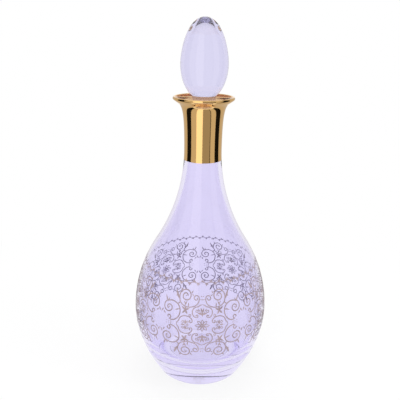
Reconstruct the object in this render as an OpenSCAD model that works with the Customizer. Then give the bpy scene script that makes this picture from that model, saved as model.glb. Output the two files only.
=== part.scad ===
// Glass decanter with a gilded neck, a band of fired gold filigree and an egg-shaped stopper.
// Millimetres. The origin is the centre of the foot on the table, +Z runs up the axis,
// and the filigree faces the viewer along -Y.

/* [Foot and base] */
// Radius of the underside where the bottle meets the table
foot_r = 37.5; // [35:0.5:40]
// Radius of the rounded edge round the foot
foot_edge_r = 3.8; // [2:0.1:5]
// Width of the ring that stands on the table
foot_ring_w = 6; // [4:0.5:9]
// Depth of the shallow recess under the base
punt_depth = 1.2; // [0.5:0.1:2.5]
// Angle between the table and the wall where it leaves the foot
foot_rise = 59; // [52:1:66]
// Thickness of the glass from the table to the cavity floor
base_thick = 15; // [11:0.5:19]
// Radius of the flat part of the cavity floor
floor_r = 30; // [24:0.5:36]

/* [Body] */
// Outer radius of the belly at its widest
belly_r = 60.75; // [56:0.25:66]
// Height of the widest circle above the table
belly_z = 63; // [57:0.5:70]
// Wall thickness of the belly and shoulder
wall = 2.6; // [2:0.1:3.2]
// Outer radius half way down the shoulder
shoulder_r = 41.6; // [39:0.2:44]
// Rise from the widest circle to that shoulder point
shoulder_rise = 64.5; // [60:0.5:70]
// Lean of the shoulder from upright at that point
shoulder_lean = 32.4; // [29:0.2:36]

/* [Neck and lip] */
// Radius of the straight bore in the neck
bore_r = 13.3; // [12:0.1:14.6]
// Wall thickness of the neck at its waist
neck_wall = 2.85; // [2.4:0.05:3.4]
// Rise from the shoulder point to the waist of the neck
neck_rise = 84.5; // [76:0.5:94]
// Rise from the waist to the start of the rounded lip
flare_rise = 42.7; // [38:0.1:48]
// Outer radius of the flare where the rounded lip starts
flare_r = 25.7; // [23:0.1:28]
// Angle between the table and the flare at the lip
flare_rise_angle = 44; // [38:1:52]
// Thickness of the rounded lip
lip_thick = 2.6; // [2:0.1:3]
// Length of the straight bore above the waist
bore_above_waist = 18; // [14:0.5:22]

/* [Gilding] */
// Height of the gold on the neck, from its lower edge to the top of the lip
gild_height = 55.5; // [46:0.5:60]
// Thickness of the gold, thicker than the real film
gild_thick = 0.15; // [0.1:0.01:0.3]
// Clearance between fired decoration and the glass under it
gild_gap = 0.02; // [0.01:0.01:0.04]

/* [Filigree print] */
// Number of times the pattern repeats round the bottle
repeats = 5; // [4:1:6]
// Rise from the widest circle to the middle line of the pattern
print_rise = 12; // [9:0.5:15]
// Height of the pattern, measured along the glass
print_height = 60; // [54:0.5:64]
// Rise of the leaf border above the pattern's middle line, along the glass
border_rise = 37.5; // [35:0.5:40]
// Number of leaves in the border for each repeat
border_leaves = 9; // [7:1:11]
// Width of a scroll line
line_w = 0.8; // [0.6:0.05:1]
// Thickness of the print, thicker than the real enamel
print_thick = 0.15; // [0.1:0.01:0.3]
// Clearance between the print's flat facets and the round glass
print_gap = 0.06; // [0.05:0.01:0.1]

/* [Stopper] */
// Outer radius of the glass egg at its widest
egg_r = 19.95; // [18:0.05:22]
// Height of the egg from its underside to its tip
egg_height = 62.2; // [56:0.2:68]
// Rise from the underside to the widest circle of the egg
egg_widest = 25.2; // [22:0.2:28]
// Gap between the rim of the bottle and the underside of the egg
egg_lift = 0.9; // [0.4:0.1:2]
// Radius of the rounded end of the plug
plug_end_r = 1.2; // [0.5:0.1:2]

/* [Stopper seal] */
// Wall thickness of the plastic cup on the plug
cup_wall = 1.2; // [0.9:0.1:1.6]
// Thickness of the floor of the cup
cup_floor = 1.2; // [0.8:0.1:2]
// Height of the soft ribs above the wall of the cup
rib_height = 1.8; // [1.4:0.1:2.2]
// Width of one rib at its root
rib_w = 2; // [1.4:0.1:2.4]
// Number of ribs
ribs = 4; // [2:1:5]
// Distance from one rib to the next
rib_pitch = 6; // [5:0.25:7]
// Distance from the underside of the collar to the first rib
rib_start = 11; // [10:0.25:13]
// Radius of the collar that rests in the flare
collar_r = 15; // [14.9:0.05:16]
// Thickness of that collar
collar_thick = 1.5; // [1:0.1:2]
// Running clearance of the ribs in the bore and of the plug in the cup
running_gap = 0.05; // [0.02:0.01:0.08]
// Clearance where a piece rests on another
seat_gap = 0.1; // [0.05:0.01:0.2]

/* [Hidden] */
$fn = 96;

glass_colour = [0.86, 0.84, 0.98, 0.45];
gold_colour = [0.86, 0.67, 0.38];
print_colour = [0.70, 0.58, 0.50];
seal_colour = [0.93, 0.93, 0.95, 0.8];

// Points of a cubic curve from a to d with handles b and c
function curve(a, b, c, d, n) = [for (i = [0 : n])
    let (t = i / n, u = 1 - t)
    u * u * u * a + 3 * u * u * t * b + 3 * u * t * t * c + t * t * t * d];
function ray(angle, length) = length * [cos(angle), sin(angle)];
function arc(centre, radius, from, sweep, n) = [for (i = [0 : n])
    centre + ray(from + sweep * i / n, radius)];
function drop_first(points) = [for (i = [1 : len(points) - 1]) points[i]];
function reverse(points) = [for (i = [len(points) - 1 : -1 : 0]) points[i]];

// Key points of the outside, as radius and height
foot_edge = arc([foot_r, foot_edge_r], foot_edge_r, -90, foot_rise, 5);
wall_start = foot_edge[len(foot_edge) - 1];
belly = [belly_r, belly_z];
shoulder = [shoulder_r, belly_z + shoulder_rise];
waist = [bore_r + neck_wall, belly_z + shoulder_rise + neck_rise];
flare_end = [flare_r, waist[1] + flare_rise];
shoulder_dir = ray(90 + shoulder_lean, 1);

// Handles of the curves, as shares of the rises that they shape
low_handle = wall_start + ray(foot_rise, 0.2 * belly_z);
below_belly = belly - [0, 0.45 * belly_z];
above_belly = belly + [0, 0.505 * shoulder_rise];
under_shoulder = shoulder - 0.125 * shoulder_rise * shoulder_dir;
over_shoulder = shoulder + 0.28 * neck_rise * shoulder_dir;
under_waist = waist - [0, 0.41 * neck_rise];
lip_dir = ray(flare_rise_angle, 1);
lip_in = ray(flare_rise_angle + 90, 1);
over_waist = waist + [0, flare_rise];
under_lip = flare_end - 0.2 * flare_rise * lip_dir;

body_outside = concat(
    curve(wall_start, low_handle, below_belly, belly, 12),
    drop_first(curve(belly, above_belly, under_shoulder, shoulder, 10)),
    drop_first(curve(shoulder, over_shoulder, under_waist, waist, 12)));
neck_outside = curve(waist, over_waist, under_lip, flare_end, 14);
lip_centre = flare_end + lip_thick / 2 * lip_in;
lip_round = arc(lip_centre, lip_thick / 2, flare_rise_angle - 90, 180, 8);
outside = concat(foot_edge, drop_first(body_outside), drop_first(neck_outside), drop_first(lip_round));
rim_z = lip_centre[1] + lip_thick / 2;

// Inside of the glass, from the mouth down to the cavity floor
flare_inside = lip_centre + lip_thick / 2 * lip_in;
bore_top = [bore_r, waist[1] + bore_above_waist];
inside_rise = flare_inside[1] - bore_top[1];
throat = curve(bore_top, bore_top + [0, 0.75 * inside_rise],
    flare_inside - 0.3 * inside_rise * lip_dir, flare_inside, 10);
shoulder_inside = shoulder - wall * ray(shoulder_lean, 1);
bore_bottom = [bore_r, waist[1] - 0.1 * neck_rise];
belly_inside = belly - [wall, 0];
floor_edge = [floor_r, base_thick];
neck_inside = curve(bore_bottom, bore_bottom - [0, 0.32 * neck_rise],
    shoulder_inside + 0.27 * neck_rise * shoulder_dir, shoulder_inside, 12);
shoulder_wall = curve(shoulder_inside, shoulder_inside - 0.125 * shoulder_rise * shoulder_dir,
    belly_inside + [0, 0.505 * shoulder_rise], belly_inside, 10);
low_wall = curve(belly_inside, belly_inside - [0, 0.45 * belly_z],
    floor_edge + [0.4 * (belly_inside[0] - floor_r), 0], floor_edge, 12);
inside = concat(drop_first(reverse(throat)), neck_inside, drop_first(shoulder_wall),
    drop_first(low_wall), [[0, base_thick]]);
underside = [[0, punt_depth], [foot_r - foot_ring_w - punt_depth, punt_depth],
    [foot_r - foot_ring_w, 0]];

// The ribs close the bore, the cup carries the ribs and the plug fills the cup
rib_r = bore_r - running_gap;
cup_r = rib_r - rib_height;
cup_bore_r = cup_r - cup_wall;
plug_r = cup_bore_r - running_gap;
collar_z = lookup(collar_r + seat_gap, throat);
cup_bottom_z = collar_z - rib_start - (ribs - 1) * rib_pitch - rib_w - cup_floor;
plug_end_z = cup_bottom_z + cup_floor + seat_gap;

// Distance along the outside, zero at the pattern's middle line
pattern_side = concat(
    curve(wall_start, low_handle, below_belly, belly, 24),
    drop_first(curve(belly, above_belly, under_shoulder, shoulder, 24)));
function run_lengths(points, i = 0, sum = 0) = i == len(points) ? [] :
    let (next = i == 0 ? 0 : sum + norm(points[i] - points[i - 1]))
    concat([next], run_lengths(points, i + 1, next));
side_run = run_lengths(pattern_side);
side_last = len(pattern_side) - 1;
run_of_height = [for (i = [0 : side_last]) [pattern_side[i][1], side_run[i]]];
middle_run = lookup(belly_z + print_rise, run_of_height);
radius_at = [for (i = [0 : side_last]) [side_run[i] - middle_run, pattern_side[i][0]]];
height_at = [for (i = [0 : side_last]) [side_run[i] - middle_run, pattern_side[i][1]]];

// The pattern is drawn flat, x to the right and y up from the rosette, on a repeat of this size
drawn_w = 76.3;
drawn_h = 60;
scale_x = 360 / repeats / drawn_w;
scale_y = print_height / drawn_h;

// Point on the glass for a drawn point, lifted off it by h, in repeat number k
function on_glass(p, h, k) =
    let (s = p[1] * scale_y,
        rz = [lookup(s, radius_at), lookup(s, height_at)],
        ahead = [lookup(s + 0.5, radius_at), lookup(s + 0.5, height_at)],
        along = (ahead - rz) / norm(ahead - rz),
        r = rz[0] + h * along[1],
        a = (k * drawn_w + p[0]) * scale_x - 90)
    [r * cos(a), r * sin(a), rz[1] - h * along[0]];

// Unit vector to the left of a drawn path at point i
function path_left(path, i, closed) =
    let (n = len(path),
        before = closed ? path[(i + n - 1) % n] : path[max(i - 1, 0)],
        after = closed ? path[(i + 1) % n] : path[min(i + 1, n - 1)],
        t = (after - before) / norm(after - before))
    [-t[1], t[0]];

// A flat raised line along a drawn path, thinner towards its ends unless it is a loop
module raised_line(path, k, width = line_w, tip = 0.45, closed = false) {
    n = len(path);
    low = print_gap;
    high = print_gap + print_thick;
    corners = [for (i = [0 : n - 1])
        let (end = closed ? n : min(i, n - 1 - i),
            w = width / 2 * (end == 0 ? tip : 1),
            side = w * path_left(path, i, closed))
        each [on_glass(path[i] + side, low, k), on_glass(path[i] + side, high, k),
            on_glass(path[i] - side, high, k), on_glass(path[i] - side, low, k)]];
    rings = closed ? n : n - 1;
    sides = [for (i = [0 : rings - 1], c = [0 : 3])
        let (a = i * 4 + c, b = ((i + 1) % n) * 4 + c,
            d = i * 4 + (c + 1) % 4, e = ((i + 1) % n) * 4 + (c + 1) % 4)
        each [[a, b, e], [a, e, d]]];
    last = (n - 1) * 4;
    ends = closed ? [] : [[0, 1, 2], [0, 2, 3],
        [last + 3, last + 2, last + 1], [last + 3, last + 1, last]];
    polyhedron(points = corners, faces = concat(sides, ends), convexity = 4);
}

// A flat raised leaf from a base point to a tip, with its widest place part of the way along
module raised_leaf(base, tip, width, k, widest = 0.45) {
    along = tip - base;
    side = width / 2 * [-along[1], along[0]] / norm(along);
    middle = base + widest * along;
    outline = [base, middle - side, tip, middle + side];
    corners = [for (h = [print_gap, print_gap + print_thick], p = outline) on_glass(p, h, k)];
    polyhedron(points = corners, faces = [[0, 1, 2], [0, 2, 3], [6, 5, 4], [7, 6, 4],
        [0, 4, 5], [0, 5, 1], [1, 5, 6], [1, 6, 2], [2, 6, 7], [2, 7, 3], [3, 7, 4], [3, 4, 0]]);
}

function mirrored(points, m) = [for (p = points) [p[0] * m[0], p[1] * m[1]]];
function spiral(centre, r_from, r_to, from, sweep, n) = [for (i = [0 : n])
    centre + ray(from + sweep * i / n, r_from + (r_to - r_from) * i / n)];
corners_of_four = [[1, 1], [-1, 1], [1, -1], [-1, -1]];

// Drawn lines of one quarter of the pattern, to the right of the rosette and above it
c_line = concat(
    reverse(spiral([29.7, 5], 2, 0.9, 270, -330, 5)),
    curve([27.6, 2.5], [23.5, 2.2], [19.7, 6.5], [19.7, 11.3], 4),
    drop_first(curve([19.7, 11.3], [19.7, 16.5], [24, 19.3], [28.3, 19.3], 4)),
    spiral([30.2, 13.2], 5.4, 2.9, 60, -180, 5),
    drop_first(spiral([30.2, 13.2], 2.9, 1.3, -120, -250, 5)));
horn_line = concat(
    curve([20.6, 20.4], [21.6, 23.5], [21.6, 27.2], [19, 28.9], 3),
    drop_first(spiral([15, 25.2], 5.4, 1.3, 45, 430, 11)));
link_line = concat(
    curve([19.2, 18.6], [16.5, 15.9], [11.5, 15.6], [7.5, 16.5], 4),
    drop_first(curve([7.5, 16.5], [3.6, 17.6], [1.6, 20.8], [2.6, 23.8], 3)),
    drop_first(spiral([5.3, 23.9], 2.7, 0.9, 180, -340, 6)));
lobe_top = concat(
    curve([5, 7.2], [9, 6.6], [11.5, 15.9], [3.6, 16.5], 6),
    [[2.2, 17.7], [0, 18.2]]);
lobe_side = concat(
    curve([8.7, 4.4], [9.5, 8.5], [19.6, 10.2], [20.6, 2.9], 6),
    [[22, 1.5], [22.3, 0]]);

module each_repeat() {
    for (k = [0 : repeats - 1]) {
        $k = k;
        children();
    }
}

module bottle() {
    color(glass_colour) rotate_extrude() polygon(concat(underside, outside, inside));
}

// Gold film on the neck and over the lip, on the same curve as the glass
module neck_gilding() {
    edge_z = rim_z - gild_height;
    run = concat(body_outside, drop_first(neck_outside), drop_first(lip_round));
    above = [for (i = [1 : len(run) - 1]) if (run[i][1] > edge_z) i];
    below = run[above[0] - 1];
    share = (edge_z - below[1]) / (run[above[0]][1] - below[1]);
    edge = below + share * (run[above[0]] - below);
    covered = concat([edge], [for (i = above) run[i]]);
    function out_from(i) = -path_left(covered, i, false);
    near = [for (i = [0 : len(covered) - 1]) covered[i] + gild_gap * out_from(i)];
    far = [for (i = [0 : len(covered) - 1]) covered[i] + (gild_gap + gild_thick) * out_from(i)];
    color(gold_colour) rotate_extrude() polygon(concat(near, reverse(far)));
}

// Plastic cup on the plug, with soft ribs that close the bore and a collar in the flare
module stopper_seal() {
    rib_profile = [for (i = [ribs - 1 : -1 : 0])
        let (z = collar_z - rib_start - i * rib_pitch)
        each [[cup_r, z - rib_w / 2], [rib_r, z - rib_w / 8],
            [rib_r, z + rib_w / 8], [cup_r, z + rib_w / 2]]];
    bevel = cup_floor / 2;
    floor_z = cup_bottom_z + cup_floor;
    collar_top = collar_z + collar_thick;
    color(seal_colour) rotate_extrude() polygon(concat(
        [[0, cup_bottom_z], [cup_r - bevel, cup_bottom_z], [cup_r, cup_bottom_z + bevel]],
        rib_profile,
        [[cup_r, collar_z], [collar_r, collar_z], [collar_r, collar_top],
            [cup_bore_r, collar_top], [cup_bore_r, floor_z], [0, floor_z]]));
}

// Solid glass egg with its plug in one piece
module stopper() {
    under_z = rim_z + egg_lift;
    root = [plug_r, under_z];
    widest = [egg_r, under_z + egg_widest];
    tip = [0, under_z + egg_height];
    crown = egg_height - egg_widest;
    plug_end = arc([plug_r - plug_end_r, plug_end_z + plug_end_r], plug_end_r, -90, 90, 4);
    color(glass_colour) rotate_extrude() polygon(concat(
        [[0, plug_end_z]], plug_end,
        curve(root, root + ray(38, 0.5 * egg_r), widest - [0, 0.26 * egg_widest], widest, 10),
        drop_first(curve(widest, widest + [0, 0.3 * crown], tip + [0.73 * egg_r, 0], tip, 14))));
}

// Four-lobed frame round each rosette, one closed line with a step at every inner corner
module lobed_frames() {
    quarter = concat(reverse(lobe_side), lobe_top);
    upper = concat(quarter, drop_first(reverse(mirrored(quarter, [-1, 1]))));
    lower = [for (i = [1 : len(upper) - 2]) upper[len(upper) - 1 - i]];
    loop = concat(upper, mirrored(lower, [1, -1]));
    color(print_colour) each_repeat() raised_line(loop, $k, closed = true);
}

module rosettes() {
    petals = 8;
    color(print_colour) each_repeat() for (i = [0 : petals - 1]) {
        a = i * 360 / petals;
        raised_leaf(ray(a, 1.1), ray(a, 4.9), 2, $k);
    }
}

module palmettes() {
    color(print_colour) each_repeat() {
        for (m = [1, -1], lean = [-62, 0, 62]) {
            root = [0, 9.4 * m] + ray(m * (90 + lean), 0.9);
            raised_leaf(root, root + ray(m * (90 + lean), 4.3), 1.8, $k);
        }
        for (m = [1, -1], lean = [0 : 90 : 270]) {
            root = [14.6 * m, 0] + ray(lean, 0.9);
            raised_leaf(root, root + ray(lean, 3.2), 1.9, $k);
        }
    }
}

module corner_leaves() {
    color(print_colour) each_repeat() for (m = corners_of_four, lean = [-75, 0, 75]) {
        way = 222 + lean;
        root = [15.6, 13.6] + ray(way, 0.9);
        ends = mirrored([root, root + ray(way, 3)], m);
        raised_leaf(ends[0], ends[1], 1.5, $k);
    }
}

module c_scrolls() {
    color(print_colour) each_repeat() {
        for (m = corners_of_four) {
            raised_line(mirrored(c_line, m), $k);
        }
    }
}

module horn_scrolls() {
    color(print_colour) each_repeat() for (m = corners_of_four) {
        raised_line(mirrored(horn_line, m), $k);
        horn = mirrored([[21.9, 22.6], [25.2, 29.4]], m);
        raised_leaf(horn[0], horn[1], 1.8, $k, 0.6);
    }
}

module link_scrolls() {
    color(print_colour) each_repeat() {
        for (m = corners_of_four) {
            raised_line(mirrored(link_line, m), $k);
        }
        for (m = [1, -1]) {
            raised_line(mirrored([[-1.3, 22.4], [1.3, 22.4]], [1, m]), $k, tip = 1);
        }
    }
}

// Wavy line of small leaves that closes the pattern at the top
module leaf_border() {
    count = repeats * border_leaves;
    pitch = drawn_w / border_leaves;
    line_y = border_rise / scale_y;
    wave = [for (i = [0 : 2 * count - 1]) [i * pitch / 2, line_y + (i % 2 == 0 ? 0.35 : -0.35)]];
    color(print_colour) {
        raised_line(wave, 0, width = 0.75 * line_w, closed = true);
        for (i = [0 : count - 1]) {
            up = [i * pitch, line_y + 0.95];
            down = [(i + 0.5) * pitch, line_y - 0.95];
            raised_leaf(up, up + [0.5, 2], 1.5, 0);
            raised_leaf(down, down - [0.5, 2], 1.5, 0);
        }
    }
}

bottle();
neck_gilding();
stopper_seal();
stopper();
lobed_frames();
rosettes();
palmettes();
corner_leaves();
c_scrolls();
horn_scrolls();
link_scrolls();
leaf_border();
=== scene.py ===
from bisect import bisect_right
from math import cos, pi, radians, sin

import bmesh
import bpy
from mathutils import Euler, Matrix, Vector


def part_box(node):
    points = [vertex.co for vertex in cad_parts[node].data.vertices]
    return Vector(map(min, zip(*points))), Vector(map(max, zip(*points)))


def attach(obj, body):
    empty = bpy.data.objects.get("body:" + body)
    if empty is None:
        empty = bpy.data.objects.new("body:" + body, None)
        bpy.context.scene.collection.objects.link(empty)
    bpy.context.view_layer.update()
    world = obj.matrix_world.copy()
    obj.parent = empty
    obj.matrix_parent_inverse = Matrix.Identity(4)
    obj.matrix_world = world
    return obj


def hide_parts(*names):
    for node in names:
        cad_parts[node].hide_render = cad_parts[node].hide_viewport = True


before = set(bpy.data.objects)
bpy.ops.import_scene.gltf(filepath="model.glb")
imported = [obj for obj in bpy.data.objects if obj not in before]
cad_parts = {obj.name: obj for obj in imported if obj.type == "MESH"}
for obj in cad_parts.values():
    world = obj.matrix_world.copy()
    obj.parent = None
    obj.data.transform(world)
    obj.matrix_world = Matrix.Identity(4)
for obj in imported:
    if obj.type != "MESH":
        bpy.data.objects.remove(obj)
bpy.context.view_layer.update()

# The bottle: clear blown glass with a faint lavender cast, a thick base, a pear-shaped
# belly and a flared mouth with a fire-polished lip. Its outline is a radius and a height
# in millimetres, turned round the axis as the mould turns it.
mm = 0.001
turn_steps = 144
sharp_angle = 35
foot_r = 37.5
foot_edge_r = 3.8
foot_rise = 59
foot_ring_w = 6
punt_depth = 1.2
base_thick = 15
floor_r = 30
belly_r = 60.75
belly_z = 63
wall = 2.6
shoulder_r = 41.6
shoulder_rise = 64.5
shoulder_lean = 32.4
bore_r = 13.3
bore_above_waist = 18
neck_wall = 2.85
neck_rise = 84.5
flare_r = 25.7
flare_rise = 42.7
flare_rise_angle = 44
lip_thick = 2.6
glass_tint = (0.854, 0.825, 0.978, 1)
depth_tint = (0.85, 0.80, 0.99, 1)
depth_density = 10


def up(length):
    return Vector((0, length))


def ray(angle, length):
    return Vector((cos(radians(angle)), sin(radians(angle)))) * length


def arc(centre, radius, start, sweep, steps):
    return [Vector(centre) + ray(start + sweep * i / steps, radius) for i in range(steps + 1)]


def bend(a, b, c, d, steps):
    """Points of a cubic curve from a to d with the handles b and c."""
    a, b, c, d = (Vector(point) for point in (a, b, c, d))
    points = []
    for i in range(steps + 1):
        t = i / steps
        u = 1 - t
        points.append(u**3 * a + 3 * u * u * t * b + 3 * u * t * t * c + t**3 * d)
    return points


def meshed(name, bm):
    """An object at the origin, smooth but for its sharp edges, from a bmesh."""
    mesh = bpy.data.meshes.new(name)
    bm.to_mesh(mesh)
    bm.free()
    mesh.polygons.foreach_set("use_smooth", [True] * len(mesh.polygons))
    mesh.set_sharp_from_angle(angle=radians(sharp_angle))
    piece = bpy.data.objects.new(name, mesh)
    bpy.context.scene.collection.objects.link(piece)
    return piece


def turned(name, outline, closed=False):
    """A solid of revolution from points of radius and height in millimetres."""
    bm = bmesh.new()
    verts = [bm.verts.new((r * mm, 0, z * mm)) for r, z in outline]
    edges = [bm.edges.new(pair) for pair in zip(verts, verts[1:])]
    if closed:
        edges.append(bm.edges.new((verts[-1], verts[0])))
    bmesh.ops.spin(bm, geom=verts + edges, cent=(0, 0, 0), axis=(0, 0, 1), dvec=(0, 0, 0),
                   angle=2 * pi, steps=turn_steps, use_merge=True, use_duplicate=False)
    bmesh.ops.remove_doubles(bm, verts=bm.verts, dist=1e-7)
    bmesh.ops.recalc_face_normals(bm, faces=bm.faces)
    return meshed(name, bm)


def finish_named(name):
    """A new material with its node tree and its main shader."""
    finish = bpy.data.materials.new(name)
    finish.use_nodes = True
    return finish, finish.node_tree, finish.node_tree.nodes["Principled BSDF"]


def grain(tree, scale, detail=2):
    """Noise on the piece's own coordinates."""
    place = tree.nodes.new("ShaderNodeTexCoord")
    noise = tree.nodes.new("ShaderNodeTexNoise")
    noise.inputs["Scale"].default_value = scale
    noise.inputs["Detail"].default_value = detail
    tree.links.new(place.outputs["Object"], noise.inputs["Vector"])
    return noise.outputs["Fac"]


def bumped(tree, shader, height, strength, distance):
    """Gives the shader a surface that rises and falls with the height."""
    bump = tree.nodes.new("ShaderNodeBump")
    bump.inputs["Strength"].default_value = strength
    bump.inputs["Distance"].default_value = distance
    tree.links.new(height, bump.inputs["Height"])
    tree.links.new(bump.outputs["Normal"], shader.inputs["Normal"])


def glass(name, tint):
    """Polished glass that waves a little, as blown and pressed glass does."""
    finish, tree, shader = finish_named(name)
    shader.inputs["Base Color"].default_value = tint
    shader.inputs["Transmission Weight"].default_value = 1
    shader.inputs["IOR"].default_value = 1.5
    shader.inputs["Roughness"].default_value = 0
    bumped(tree, shader, grain(tree, scale=22), strength=0.12, distance=0.0006)
    return finish


foot_edge = arc((foot_r, foot_edge_r), foot_edge_r, -90, foot_rise, steps=8)
wall_start = foot_edge[-1]
belly = Vector((belly_r, belly_z))
shoulder = Vector((shoulder_r, belly_z + shoulder_rise))
waist = Vector((bore_r + neck_wall, belly_z + shoulder_rise + neck_rise))
flare_end = Vector((flare_r, waist[1] + flare_rise))
shoulder_dir = ray(90 + shoulder_lean, 1)
lip_dir = ray(flare_rise_angle, 1)

# The outside, from the foot up to the lip. The handles of its curves are shares of the
# rises that they shape.
low_handle = wall_start + ray(foot_rise, 0.2 * belly_z)
over_shoulder = shoulder + 0.28 * neck_rise * shoulder_dir
low_side = bend(wall_start, low_handle, belly - up(0.45 * belly_z), belly, steps=36)
high_side = bend(belly, belly + up(0.505 * shoulder_rise),
                 shoulder - 0.125 * shoulder_rise * shoulder_dir, shoulder, steps=30)
neck_side = bend(shoulder, over_shoulder, waist - up(0.41 * neck_rise), waist, steps=36)
flare_side = bend(waist, waist + up(flare_rise),
                  flare_end - 0.2 * flare_rise * lip_dir, flare_end, steps=36)
lip_centre = flare_end + ray(flare_rise_angle + 90, lip_thick / 2)
lip_side = arc(lip_centre, lip_thick / 2, flare_rise_angle - 90, 180, steps=14)
rim_z = lip_centre[1] + lip_thick / 2
outside = foot_edge + low_side[1:] + high_side[1:] + neck_side[1:] + flare_side[1:] + lip_side[1:]

# The inside, from the mouth down to the floor of the cavity, and the hollow underneath.
flare_in = lip_side[-1]
bore_top = Vector((bore_r, waist[1] + bore_above_waist))
bore_bottom = Vector((bore_r, waist[1] - 0.1 * neck_rise))
shoulder_in = shoulder - ray(shoulder_lean, wall)
belly_in = belly - Vector((wall, 0))
floor_edge = Vector((floor_r, base_thick))
floor_handle = floor_edge + Vector((0.4 * (belly_in[0] - floor_r), 0))
throat_rise = flare_in[1] - bore_top[1]
throat = bend(bore_top, bore_top + up(0.75 * throat_rise),
              flare_in - 0.3 * throat_rise * lip_dir, flare_in, steps=24)
neck_in = bend(bore_bottom, bore_bottom - up(0.32 * neck_rise),
               shoulder_in + 0.27 * neck_rise * shoulder_dir, shoulder_in, steps=32)
shoulder_wall = bend(shoulder_in, shoulder_in - 0.125 * shoulder_rise * shoulder_dir,
                     belly_in + up(0.505 * shoulder_rise), belly_in, steps=28)
low_wall = bend(belly_in, belly_in - up(0.45 * belly_z), floor_handle, floor_edge, steps=32)
cavity_floor = [(floor_r / 2, base_thick), (0, base_thick)]
inside = throat[::-1][1:] + neck_in + shoulder_wall[1:] + low_wall[1:] + cavity_floor
foot_in_r = foot_r - foot_ring_w
underside = [(0, punt_depth), (floor_r / 2, punt_depth), (foot_in_r - punt_depth, punt_depth),
             (foot_in_r, 0)]

bottle = turned("bottle_glass_body", underside + outside + inside)
bottle_finish = glass("lavender bottle glass", glass_tint)
bottle_tree = bottle_finish.node_tree
depth = bottle_tree.nodes.new("ShaderNodeVolumeAbsorption")
depth.inputs["Color"].default_value = depth_tint
depth.inputs["Density"].default_value = depth_density
bottle_tree.links.new(depth.outputs[0], bottle_tree.nodes["Material Output"].inputs["Volume"])
bottle.data.materials.append(bottle_finish)
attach(bottle, "bottle")
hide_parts("bottle")

# The filigree: matt gold enamel, printed and fired on the outside of the glass in five
# repeats round a rosette. Each motif is drawn flat in millimetres from the rosette, x to
# the right and y up, as strokes of varying width, and then laid on the curve of the glass.
repeats = 5
drawn_w = 76.3
print_rise = 12
print_lift = 0.03
print_crown = 0.12
back_below = -1e-4
print_gold = (0.29, 0.225, 0.25, 1)
print_gold_worn = (0.40, 0.315, 0.345, 1)
# The side of the print that lies on the glass is painted almost white: painted light for the light that
# reaches it through the glass.
print_back_painted_light = (0.97, 0.90, 0.90, 1)

side = low_side + high_side[1:]
run = [0]
for near, far in zip(side, side[1:]):
    run.append(run[-1] + (far - near).length)
middle_z = belly_z + print_rise
middle_i = next(i for i, p in enumerate(side) if p[1] > middle_z)
middle_share = (middle_z - side[middle_i - 1][1]) / (side[middle_i][1] - side[middle_i - 1][1])
middle_run = run[middle_i - 1] + middle_share * (run[middle_i] - run[middle_i - 1])


def on_glass(x, y, h):
    """The place on the bottle of a drawn point, lifted off the glass by h."""
    s = y + middle_run
    i = min(max(bisect_right(run, s), 1), len(side) - 1)
    step = side[i] - side[i - 1]
    foot = side[i - 1] + step * ((s - run[i - 1]) / step.length)
    step.normalize()
    r = foot[0] + h * step[1]
    angle = x * 2 * pi / repeats / drawn_w - pi / 2
    return Vector((r * cos(angle), r * sin(angle), foot[1] - h * step[0])) * mm


def ranged(tree, value, low, high):
    """Noise spread from low to high over the part of its range that it fills."""
    span = tree.nodes.new("ShaderNodeMapRange")
    span.inputs["From Min"].default_value = 0.3
    span.inputs["From Max"].default_value = 0.7
    span.inputs["To Min"].default_value = low
    span.inputs["To Max"].default_value = high
    tree.links.new(value, span.inputs["Value"])
    return span.outputs["Result"]


def enamel(name):
    """Gold enamel, matt and worn in places. Its side on the glass is painted almost white, as painted
    light for the light that reaches it through the glass.
    """
    finish, tree, shader = finish_named(name)
    shade = tree.nodes.new("ShaderNodeMix")
    shade.data_type = "RGBA"
    shade.inputs["A"].default_value = print_gold
    shade.inputs["B"].default_value = print_gold_worn
    tree.links.new(ranged(tree, grain(tree, scale=160, detail=3), 0, 1), shade.inputs["Factor"])
    # The glass side of each stroke takes the painted light instead of the enamel's own colour.
    painted_light_mask = tree.nodes.new("ShaderNodeAttribute")
    painted_light_mask.attribute_name = "glass_side_painted_light"
    painted_light_mix = tree.nodes.new("ShaderNodeMix")
    painted_light_mix.data_type = "RGBA"
    painted_light_mix.inputs["B"].default_value = print_back_painted_light
    tree.links.new(painted_light_mask.outputs["Fac"], painted_light_mix.inputs["Factor"])
    tree.links.new(shade.outputs["Result"], painted_light_mix.inputs["A"])
    tree.links.new(painted_light_mix.outputs["Result"], shader.inputs["Base Color"])
    tree.links.new(ranged(tree, grain(tree, scale=900), 0.38, 0.55), shader.inputs["Roughness"])
    shader.inputs["Metallic"].default_value = 0.1
    shader.inputs["Specular IOR Level"].default_value = 0.05
    bumped(tree, shader, grain(tree, scale=2500), strength=0.25, distance=0.00003)
    return finish


print_finish = enamel("matt fired gold")


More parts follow.
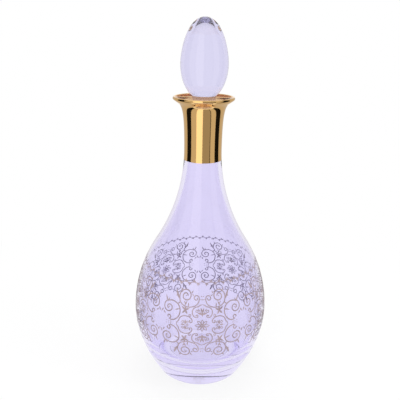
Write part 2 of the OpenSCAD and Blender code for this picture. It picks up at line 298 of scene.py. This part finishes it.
def printed(node, strokes, copies=repeats):
    """Lays the strokes on the glass round the bottle as one piece for a node."""
    drawing = bpy.data.curves.new(node, "CURVE")
    drawing.dimensions = "3D"
    drawing.bevel_depth = 1
    drawing.bevel_resolution = 1
    drawing.use_fill_caps = True
    for k in range(copies):
        for points, closed in strokes:
            stroke = drawing.splines.new("POLY")
            stroke.points.add(len(points) - 1)
            stroke.use_cyclic_u = closed
            for knot, (x, y, w) in zip(stroke.points, points):
                knot.co = (x + k * drawn_w, y, 0, 1)
                knot.radius = w / 2
    flat = bpy.data.objects.new(node + "_flat", drawing)
    bm = bmesh.new()
    bm.from_mesh(bpy.data.meshes.new_from_object(flat))
    # The half of each stroke that lies on the glass is marked for the painted light on the enamel's
    # back.
    glass_side_painted_light = bm.verts.layers.float.new("glass_side_painted_light")
    for v in bm.verts:
        v[glass_side_painted_light] = 1 if v.co.z < back_below else 0
        v.co = on_glass(v.co.x, v.co.y, print_lift + print_crown * v.co.z)
    bmesh.ops.recalc_face_normals(bm, faces=bm.faces)
    bpy.data.objects.remove(flat)
    piece = meshed(node + "_print", bm)
    piece.data.materials.append(print_finish)
    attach(piece, "bottle")
    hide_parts(node)


# The lobed frame round each rosette: four lobes of one line, which curls in where two
# lobes meet and rises to a small point at the middle of each.
line_w = 0.88
fine_w = 0.62
four_ways = [(1, 1), (-1, 1), (1, -1), (-1, -1)]


def line(points, width=line_w, tip=0.5, closed=False):
    """A stroke of even width, thinner at its two ends unless it is closed."""
    widths = [width] * len(points)
    if not closed:
        widths[0] = widths[-1] = width * tip
    return [(x, y, w) for (x, y), w in zip(points, widths)], closed


def ring(centre, radius, width=fine_w):
    return line(arc(centre, radius, 0, 360, 12)[:-1], width, closed=True)


def curl(centre, r_start, r_end, start, sweep, steps=12):
    """Points of a spiral about a centre."""
    return [Vector(centre) + ray(start + sweep * i / steps, r_start + (r_end - r_start) * i / steps)
            for i in range(steps + 1)]


def mirrored(strokes, ways):
    """The strokes once for each pair of signs, which turn x and y."""
    return [([(x * mx, y * my, w) for x, y, w in points], closed)
            for points, closed in strokes for mx, my in ways]


top_lobe = (curl((4.8, 8.5), 0.4, 1.3, -400, 320)
            + bend((5, 7.2), (9, 6.6), (11.5, 15.9), (3.6, 16.5), 14) + [(2.2, 17.7), (0, 18.4)])
side_lobe = (curl((10.2, 3.6), 0.5, 1.7, 452, -300)
             + bend((8.7, 4.4), (9.5, 8.5), (19.6, 10.2), (20.6, 2.9), 14) + [(22, 1.5), (22.4, 0)])
corner_eye = ring((10.8, 8.8), 0.9)
printed("lobed_frames", mirrored([line(top_lobe), line(side_lobe), corner_eye], four_ways))

# The rosette in the middle of each frame: eight outlined petals round a dot. Those that
# point right and left are the longest, and the upright ones the shortest.
petal_count = 8
petal_lengths = [6.1, 5.6, 5.1, 5.6]
petal_half = [(0.18, 0.1), (0.38, 0.62), (0.6, 0.98), (0.78, 0.8), (0.92, 0.35)]
leaf_form = [(0, 0.3), (0.18, 0.75), (0.42, 1), (0.66, 0.82), (0.86, 0.42), (1, 0.1)]


def leaf(root, tip, width):
    """A solid stroke that swells and comes to a point."""
    root = Vector(root)
    along = Vector(tip) - root
    return [(*(root + share * along), width * part) for share, part in leaf_form], False


def dot(centre, width):
    return leaf(Vector(centre) - up(width / 2), Vector(centre) + up(width / 2), width)


petals = []
for i in range(petal_count):
    way = i * 360 / petal_count
    across = ray(way + 90, 1)
    reach = ray(way, petal_lengths[i % len(petal_lengths)])
    outward = [reach * t + across * w for t, w in petal_half]
    inward = [reach * t - across * w for t, w in reversed(petal_half)]
    petals.append(line(outward + [reach] + inward, fine_w, closed=True))
printed("rosettes", petals + [dot((0, 0), 1.5)])

# The palmettes above and below the rosette and the florets at its sides: sprays of
# leaves on a short stem, drawn to fill the lobes.
left_right = [(1, 1), (-1, 1)]
up_down = [(1, 1), (1, -1)]
palmette = [leaf((0.5, 9.8), (4.2, 11.4), 1.5), line([(0.2, 9), (1.4, 11), (2.4, 13)], fine_w),
            leaf((0.5, 12), (1.3, 15.6), 1.4), ring((4.7, 12.6), 1), leaf((2.5, 12.6), (3.6, 14.8), 1)]
stem = leaf((0, 8.2), (0, 13.4), 1.6)
floret = [leaf((14.6, 0.6), (14.6, 4.6), 1.7), ring((12.9, 2.6), 0.9), ring((16.7, 2.6), 0.9)]
blades = [leaf((15.2, 0), (18.6, 0), 1.5), leaf((14, 0), (11.4, 0), 1.3)]
printed("palmettes", mirrored(palmette, four_ways) + mirrored([stem], up_down)
        + mirrored(floret, four_ways) + mirrored(blades, left_right))

# The leaf in each corner between a frame and the scrolls outside it: five blades of one
# stroke each, which spread from a single root.
leaf_points = [(18.6, 16), (11.4, 14.9), (17.6, 10), (13.2, 9.6), (14.9, 16.6)]
corner_leaf = [leaf((15, 13), point, 1.6) for point in leaf_points]
printed("corner_leaves", mirrored(corner_leaf, four_ways))

# The large C scrolls: a bold line that winds into a large curl at one end and a small one
# at the other, with a tie to the C below it, a tick inside its back, and a forked leaf on
# top of the large curl and another under it.
bold_w = 1
c_line = (curl((29.7, 5), 0.9, 2, -60, 330)
          + bend((27.6, 2.5), (23.5, 2.2), (19.7, 6.5), (19.7, 11.3), 12)
          + bend((19.7, 11.3), (19.7, 16.5), (24, 19.3), (28.3, 19.3), 12)[1:]
          + curl((30.2, 13.2), 5.6, 3.1, 60, -200, 14)
          + curl((30.2, 13.2), 3.1, 1.2, -140, -300, 14)[1:])
c_fork = [leaf((32.6, 18), (34.8, 22.8), 1.3), leaf((32, 18.3), (30.8, 21), 1.1)]
c_tick = leaf((20.1, 13.4), (24.8, 11.8), 1.1)
c_dots = [dot((31.6, 1.2), 0.9), dot((29.5, 0.8), 0.8), dot((30.1, 13.2), 1)]
c_tie = line([(27.8, 2.6), (27.6, 0), (27.8, -2.6)], fine_w)
c_end_leaf = [leaf((35.9, 10.6), (37.6, 7.4), 1.2), leaf((35.2, 8.8), (33.4, 6.4), 1.1)]
c_scroll = [line(c_line, bold_w)] + c_fork + [c_tick] + c_dots + c_end_leaf
printed("c_scrolls", mirrored(c_scroll, four_ways) + mirrored([c_tie], left_right))

# The horn scrolls: a bold stem from the back of each C scroll that winds into a double
# ring, with a horn at its tip and a leafy branch on its way.
horn_line = (bend((22.8, 17.4), (20.4, 18.4), (20.2, 19), (20.4, 20.4), 4)
             + bend((20.6, 20.8), (21.6, 23.5), (21.6, 27.2), (19, 28.9), 8)
             + curl((15, 25.2), 5.5, 1.4, 45, 500, 30))
horn_leaves = [leaf((21.6, 22.2), (25.3, 29.7), 1.9), leaf((22.4, 25), (24.9, 24), 1),
               leaf((15.8, 16.8), (13.8, 21), 1.2), leaf((15, 18.4), (16.9, 20.6), 0.9),
               leaf((18.6, 29.2), (20.6, 31.4), 1.1), leaf((10.2, 27.4), (8.6, 29.8), 1),
               dot((20.2, 19.5), 1.4), dot((15, 25.2), 1)]
printed("horn_scrolls", mirrored([line(horn_line, bold_w)] + horn_leaves, four_ways))

# The links that join the horn scrolls across the middle, each wound into a small ring,
# with a dash and two dots between the rings.
link_line = (bend((20.3, 19.9), (18.4, 16.6), (15, 15.7), (12.4, 15.7), 8)
             + bend((12.4, 15.7), (8, 15.7), (3.2, 17.4), (2.9, 23), 12)[1:]
             + curl((5.6, 23.5), 2.7, 0.9, 180, -400, 18)[1:])
link_leaves = [leaf((12.2, 16), (12.6, 19.6), 1), dot((0.9, 25.2), 1),
               leaf((7.8, 25.4), (9.6, 26.8), 0.9)]
dash = line([(-2.9, 22.7), (0, 22.4), (2.9, 22.7)], fine_w)
printed("link_scrolls", mirrored([line(link_line)] + link_leaves, four_ways) + mirrored([dash], up_down))

# The border that closes the pattern at the top: one fine wavy line all round the bottle,
# with a bud above each crest and another, turned over, below each trough.
border_y = 36.5
border_buds = 9
vine_steps = 6
vine_wave = 0.35
bud_pitch = drawn_w / border_buds
vine = line([(i * bud_pitch / vine_steps, border_y + vine_wave * cos(2 * pi * i / vine_steps))
             for i in range(vine_steps * border_buds * repeats)], fine_w, closed=True)
bud = [leaf((0, 0.6), (0.5, 2.9), 1.2), leaf((-0.4, 0.5), (-1.5, 1.9), 0.8),
       leaf((0.5, 0.5), (1.8, 1.5), 0.8)]
buds = []
for i in range(border_buds * repeats):
    for turn, place in ((1, i), (-1, i + 0.5)):
        for points, closed in bud:
            set_out = [(x * turn + place * bud_pitch, border_y + y * turn, w) for x, y, w in points]
            buds.append((set_out, closed))
printed("leaf_border", [vine] + buds, copies=1)

# The gold on the neck: bright burnishing gold, painted on the glass from below the flare
# up and over the lip, and fired to a mirror. The film follows the glass closely.
gild_height = 55.5
film_in = 0.02
film_out = 0.06
gold = (0.86, 0.56, 0.24, 1)

# The film starts at the first point of the outline that lies above its lower edge.
gild_edge_z = rim_z - gild_height
gilded = [p for p in neck_side + flare_side[1:] + lip_side[1:] if p[1] > gild_edge_z]
film = []
for i, p in enumerate(gilded):
    along = (gilded[min(i + 1, len(gilded) - 1)] - gilded[max(i - 1, 0)]).normalized()
    film.append((p, Vector((along[1], -along[0]))))
film_outline = [p - out * film_in for p, out in film] + [p + out * film_out for p, out in reversed(film)]


def mirror_gold(name):
    finish, tree, shader = finish_named(name)
    shader.inputs["Base Color"].default_value = gold
    shader.inputs["Metallic"].default_value = 1
    tree.links.new(ranged(tree, grain(tree, scale=90), 0.05, 0.09), shader.inputs["Roughness"])
    bumped(tree, shader, grain(tree, scale=35), strength=0.1, distance=0.0004)
    return finish


gilding = turned("neck_gold_film", film_outline, closed=True)
gilding.data.materials.append(mirror_gold("burnished fired gold"))
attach(gilding, "bottle")
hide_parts("neck_gilding")

# The seal: a soft clear plastic cup pushed on the plug, with four ribs that close the
# bore and a collar that rests in the flare. It turns and lifts with the stopper.
cup_wall = 1.2
cup_floor = 1.2
rib_height = 1.8
rib_w = 2
ribs = 4
rib_pitch = 6
rib_start = 11
collar_r = 15
collar_thick = 1.5
running_gap = 0.05
seat_gap = 0.1
rib_shoulder = 1.3
moulded_edge = 0.3
collar_root = 0.4

rib_r = bore_r - running_gap
cup_r = rib_r - rib_height
cup_bore_r = cup_r - cup_wall
collar_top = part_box("stopper_seal")[1].z / mm
collar_z = collar_top - collar_thick
cup_bottom_z = collar_z - rib_start - (ribs - 1) * rib_pitch - rib_w - cup_floor
cup_floor_z = cup_bottom_z + cup_floor
rib_half = [(cup_r, 0.5 * rib_w), (cup_r + rib_shoulder, 0.275 * rib_w), (rib_r, 0.1 * rib_w)]
rib_profile = []
for i in reversed(range(ribs)):
    rib_z = collar_z - rib_start - i * rib_pitch
    rib_profile += [(r, rib_z - rise) for r, rise in rib_half]
    rib_profile += [(r, rib_z + rise) for r, rise in reversed(rib_half)]
cup_outside = [(0, cup_bottom_z), (cup_r - cup_floor / 2, cup_bottom_z),
               (cup_r, cup_bottom_z + cup_floor / 2)] + rib_profile
collar = [(cup_r, collar_z - collar_root), (cup_r + collar_root, collar_z),
          (collar_r - moulded_edge, collar_z), (collar_r, collar_z + moulded_edge),
          (collar_r, collar_top - moulded_edge), (collar_r - moulded_edge, collar_top),
          (cup_bore_r + moulded_edge, collar_top), (cup_bore_r, collar_top - moulded_edge)]
cup_inside = [(cup_bore_r, cup_floor_z), (0, cup_floor_z)]


def soft_plastic(name):
    finish, tree, shader = finish_named(name)
    shader.inputs["Base Color"].default_value = (0.88, 0.88, 0.92, 1)
    shader.inputs["Transmission Weight"].default_value = 0.75
    shader.inputs["IOR"].default_value = 1.45
    tree.links.new(ranged(tree, grain(tree, scale=400), 0.22, 0.35), shader.inputs["Roughness"])
    return finish


seal = turned("stopper_seal_cup", cup_outside + collar + cup_inside)
seal.data.materials.append(soft_plastic("soft clear plastic"))
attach(seal, "seal")
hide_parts("stopper_seal")

# The stopper: a solid glass egg pressed in one piece with its plug and polished. It
# stands just over the lip and turns in the seal.
egg_r = 19.95
egg_widest = 25.2
egg_lift = 0.9
egg_root_angle = 38
plug_end_r = 1.2
egg_tint = (0.716, 0.694, 0.913, 1)

plug_r = cup_bore_r - running_gap
plug_end_z = cup_floor_z + seat_gap
root = Vector((plug_r, rim_z + egg_lift))
widest = Vector((egg_r, root[1] + egg_widest))
tip = up(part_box("stopper")[1].z / mm)
plug_end = arc((plug_r - plug_end_r, plug_end_z + plug_end_r), plug_end_r, -90, 90, steps=8)
plug_side = [(plug_r, bore_top[1]), (plug_r, collar_z)]
egg_low = bend(root, root + ray(egg_root_angle, 0.5 * egg_r),
               widest - up(0.26 * egg_widest), widest, steps=32)
egg_high = bend(widest, widest + up(0.3 * (tip[1] - widest[1])),
                tip + Vector((0.73 * egg_r, 0)), tip, steps=44)
stopper = turned("egg_stopper", [(0, plug_end_z)] + plug_end + plug_side + egg_low + egg_high[1:])
stopper.data.materials.append(glass("lavender stopper glass", egg_tint))
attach(stopper, "stopper")
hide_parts("stopper")

# The camera: nearly as high as the tip of the egg and looking down at the belly from
# close by, a little to the left of the rosette's middle and tilted by one degree.
camera_distance = 0.4399
camera_height = 0.3128
camera_round = 2.06
camera_aim = 0.228
camera_down = 18.48
camera_roll = 1.0
sensor_w = 36
picture_px = 400
focal_px = 521

camera_data = bpy.data.cameras.new("camera")
camera_data.sensor_width = sensor_w
camera_data.lens = focal_px / picture_px * sensor_w
camera = bpy.data.objects.new("camera", camera_data)
camera.location = (-camera_distance * sin(radians(camera_round)),
                   -camera_distance * cos(radians(camera_round)), camera_height)
aimed = Euler((radians(90 - camera_down), 0, radians(camera_aim - camera_round))).to_matrix()
camera.rotation_euler = (aimed @ Euler((0, 0, radians(camera_roll))).to_matrix()).to_euler()
bpy.context.scene.collection.objects.link(camera)
bpy.context.scene.camera = camera

# The studio: a white surround for what the camera sees and what glass and metal show, a
# pale floor that keeps the object's shadow and is lost in white further out, and three
# soft lamps, which light the object but don't show on it.
surround_light = 0.75
floor_half = 3
floor_white = (0.92, 0.92, 0.93, 1)
glow_near = 0.85
fade_from = 0.10
fade_to = 0.40


def seen_directly(tree):
    """One for a ray from the camera, a mirror surface or through glass, else nought."""
    path = tree.nodes.new("ShaderNodeLightPath")
    total = path.outputs["Is Camera Ray"]
    for name in ("Is Glossy Ray", "Is Transmission Ray"):
        larger = tree.nodes.new("ShaderNodeMath")
        larger.operation = "MAXIMUM"
        tree.links.new(total, larger.inputs[0])
        tree.links.new(path.outputs[name], larger.inputs[1])
        total = larger.outputs[0]
    return total


def blended(tree, share, unseen, seen, end):
    """Leads to the end a mix of two shaders, by the share of the second."""
    mix = tree.nodes.new("ShaderNodeMixShader")
    tree.links.new(share, mix.inputs[0])
    tree.links.new(unseen.outputs[0], mix.inputs[1])
    tree.links.new(seen.outputs[0], mix.inputs[2])
    tree.links.new(mix.outputs[0], end.inputs["Surface"])


surround = bpy.data.worlds.new("surround")
bpy.context.scene.world = surround
surround.use_nodes = True
sky = surround.node_tree
sky.nodes.clear()
lighting = sky.nodes.new("ShaderNodeBackground")
lighting.inputs["Strength"].default_value = surround_light
lighting.inputs["Color"].default_value = (1, 1, 1, 1)
shown = sky.nodes.new("ShaderNodeBackground")
shown.inputs["Color"].default_value = (1, 1, 1, 1)
blended(sky, seen_directly(sky), lighting, shown, sky.nodes.new("ShaderNodeOutputWorld"))

floor_bm = bmesh.new()
bmesh.ops.create_grid(floor_bm, x_segments=1, y_segments=1, size=floor_half)
floor = meshed("floor", floor_bm)
floor_finish, floor_tree, floor_shader = finish_named("pale floor")
floor_shader.inputs["Base Color"].default_value = floor_white
floor_shader.inputs["Roughness"].default_value = 0.9
floor_shader.inputs["Specular IOR Level"].default_value = 0
floor_place = floor_tree.nodes.new("ShaderNodeTexCoord")
far_out = floor_tree.nodes.new("ShaderNodeVectorMath")
far_out.operation = "LENGTH"
floor_tree.links.new(floor_place.outputs["Object"], far_out.inputs[0])
fade = floor_tree.nodes.new("ShaderNodeMapRange")
fade.inputs["From Min"].default_value = fade_from
fade.inputs["From Max"].default_value = fade_to
fade.inputs["To Min"].default_value = glow_near
fade.inputs["To Max"].default_value = 1
floor_tree.links.new(far_out.outputs["Value"], fade.inputs["Value"])
glow_share = floor_tree.nodes.new("ShaderNodeMath")
glow_share.operation = "MULTIPLY"
floor_tree.links.new(seen_directly(floor_tree), glow_share.inputs[0])
floor_tree.links.new(fade.outputs["Result"], glow_share.inputs[1])
glow = floor_tree.nodes.new("ShaderNodeEmission")
glow.inputs["Strength"].default_value = 1
blended(floor_tree, glow_share.outputs[0], floor_shader, glow, floor_tree.nodes["Material Output"])
floor.data.materials.append(floor_finish)


def lamp(name, place, aim, width, height, power):
    data = bpy.data.lights.new(name, "AREA")
    data.shape = "RECTANGLE"
    data.size = width
    data.size_y = height
    data.energy = power
    light = bpy.data.objects.new(name, data)
    light.location = place
    light.rotation_euler = (Vector(aim) - Vector(place)).to_track_quat("-Z", "Y").to_euler()
    light.visible_glossy = False
    light.visible_transmission = False
    bpy.context.scene.collection.objects.link(light)


lamp("left softbox", (-0.55, -1.35, 0.7), aim=(0, 0, 0.16), width=0.35, height=1.0, power=8)
lamp("right softbox", (1.3, -0.5, 0.7), aim=(0, 0, 0.16), width=0.3, height=1.0, power=6)
lamp("top softbox", (0, 0.2, 1.6), aim=(0, 0, 0.1), width=0.9, height=0.9, power=6)

# Cards and a bright softbox round the front of the bottle, which only mirror surfaces show,
# as upright bars on the gold. Each runs along the floor and then stands up, from one angle
# to another in degrees to the right of the camera, and has a brightness of its own.
card_near = 0.12
card_radius = 0.5
card_low = 0.002
card_high = 0.85
card_steps = 12
card_warmth = (1, 0.95, 0.88)
card_greys = {
    "far left card": (-165, -108, 0.62),
    "left black card": (-108, -74, 0.01),
    "left grey card": (-74, -40, 0.66),
    "softbox front": (-40, -4, 1.45),
    "front grey card": (-4, 40, 0.40),
    "thin dark post": (40, 44, 0.05),
    "right grey card": (44, 74, 0.66),
    "right black card": (74, 108, 0.01),
    "far right card": (108, 165, 0.62),
}
card_section = [(card_near, card_low), (card_radius, card_low), (card_radius, card_high)]
for name, (start, end, grey) in card_greys.items():
    card_bm = bmesh.new()
    angle = radians(start - camera_round - 90)
    strip = [card_bm.verts.new((r * cos(angle), r * sin(angle), z)) for r, z in card_section]
    strip_edges = [card_bm.edges.new(pair) for pair in zip(strip, strip[1:])]
    bmesh.ops.spin(card_bm, geom=strip + strip_edges, cent=(0, 0, 0), axis=(0, 0, 1), dvec=(0, 0, 0),
                   angle=radians(end - start), steps=card_steps)
    card = meshed(name, card_bm)
    card.visible_camera = False
    card.visible_diffuse = False
    card.visible_shadow = False
    card.visible_transmission = False
    card_finish = finish_named(name)[0]
    card_tree = card_finish.node_tree
    paint = card_tree.nodes.new("ShaderNodeEmission")
    paint.inputs["Color"].default_value = (*(grey * part for part in card_warmth), 1)
    card_tree.links.new(paint.outputs[0], card_tree.nodes["Material Output"].inputs["Surface"])
    card.data.materials.append(card_finish)

# The picture: light has to find its way through the thick base and the solid egg, so its
# paths are long, and colours are shown as they are.
bpy.context.scene.cycles.max_bounces = 24
bpy.context.scene.cycles.glossy_bounces = 16
bpy.context.scene.cycles.transmission_bounces = 24
bpy.context.scene.view_settings.view_transform = "Standard"
bpy.context.view_layer.update()
